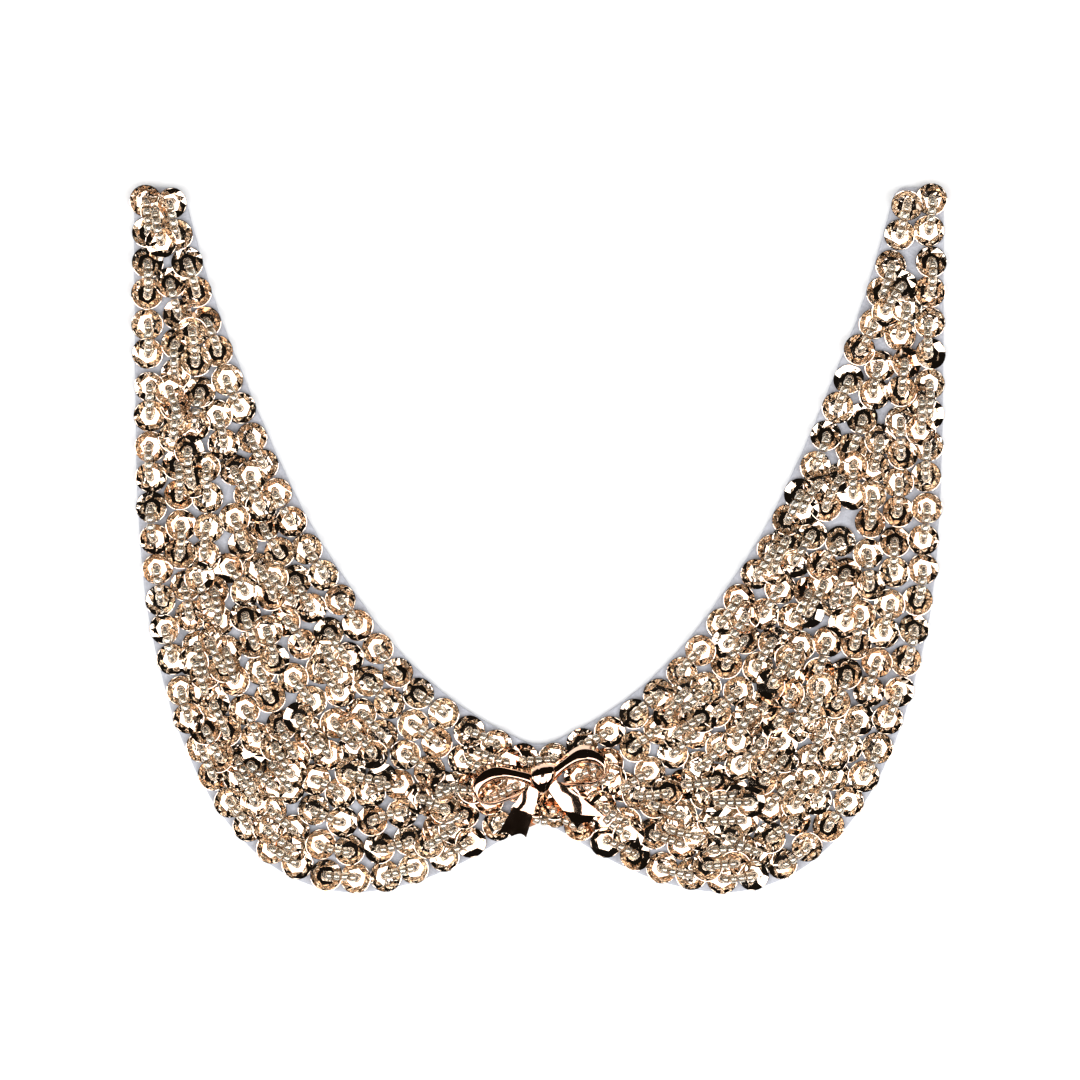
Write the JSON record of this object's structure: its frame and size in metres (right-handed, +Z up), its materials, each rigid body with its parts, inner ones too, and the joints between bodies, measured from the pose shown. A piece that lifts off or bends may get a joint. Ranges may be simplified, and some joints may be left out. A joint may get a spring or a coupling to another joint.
{
  "type": "sequin collar",
  "caption": "Flat detachable collar of felt with rounded front lobes and square ends, covered in cup sequins, with a cast bow charm at the centre front.",
  "frame": {"origin": "centre of the bounding box's bottom face, on the table that the collar lies on", "axes": "+X to the right lobe as laid out, +Y from the centre front to the square back ends, +Z up out of the table, the sequinned side"},
  "size_m": [0.2078, 0.1809, 0.0097],
  "materials": {
    "felt": "pressed felt, pale lilac grey, matt, with raw cut edges",
    "rose_gold": "cast metal with polished rose gold plating"
  },
  "bodies": {
    "root": {"collar_felt": "felt", "bow_charm": "rose_gold"}
  },
  "joints": []
}
